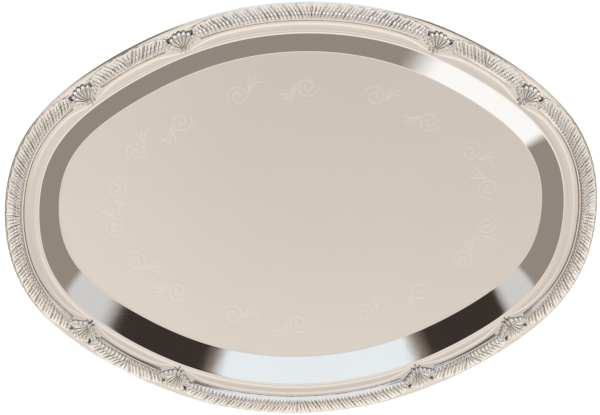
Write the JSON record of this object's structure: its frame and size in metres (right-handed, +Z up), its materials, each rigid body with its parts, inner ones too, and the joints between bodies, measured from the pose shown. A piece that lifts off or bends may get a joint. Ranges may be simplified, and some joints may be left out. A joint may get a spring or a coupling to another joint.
{
  "type": "offering plate",
  "caption": "Shallow oval metal collection plate with a flat floor, sloping wall, wide flange, gadroon-ribbed border and small shell mounts near the corners.",
  "frame": {"origin": "centre of the flat underside of the floor, which is the surface the plate rests on", "axes": "+X along the long axis, +Y along the short axis, +Z up out of the dish"},
  "size_m": [0.4196, 0.3142, 0.0183],
  "materials": {
    "body_silver": "mirror-polished silver plate with fine wiping marks",
    "border_silver": "bright silver plate, darker in the hollows between the ribs",
    "shell_silver": "bright silver plate, darker in the hollows between the flutes",
    "edge_wire": "plain drawn wire"
  },
  "bodies": {
    "root": {"tray_body": "body_silver", "edge_wire": "edge_wire", "gadroon_end_right": "border_silver", "gadroon_corner_back_right": "border_silver", "gadroon_side_back": "border_silver", "gadroon_corner_back_left": "border_silver", "gadroon_end_left": "border_silver", "gadroon_corner_front_left": "border_silver", "gadroon_side_front": "border_silver", "gadroon_corner_front_right": "border_silver", "shell_end_back_right": "shell_silver", "shell_side_back_right": "shell_silver", "shell_side_back_left": "shell_silver", "shell_end_back_left": "shell_silver", "shell_end_front_left": "shell_silver", "shell_side_front_left": "shell_silver", "shell_side_front_right": "shell_silver", "shell_end_front_right": "shell_silver"}
  },
  "joints": []
}
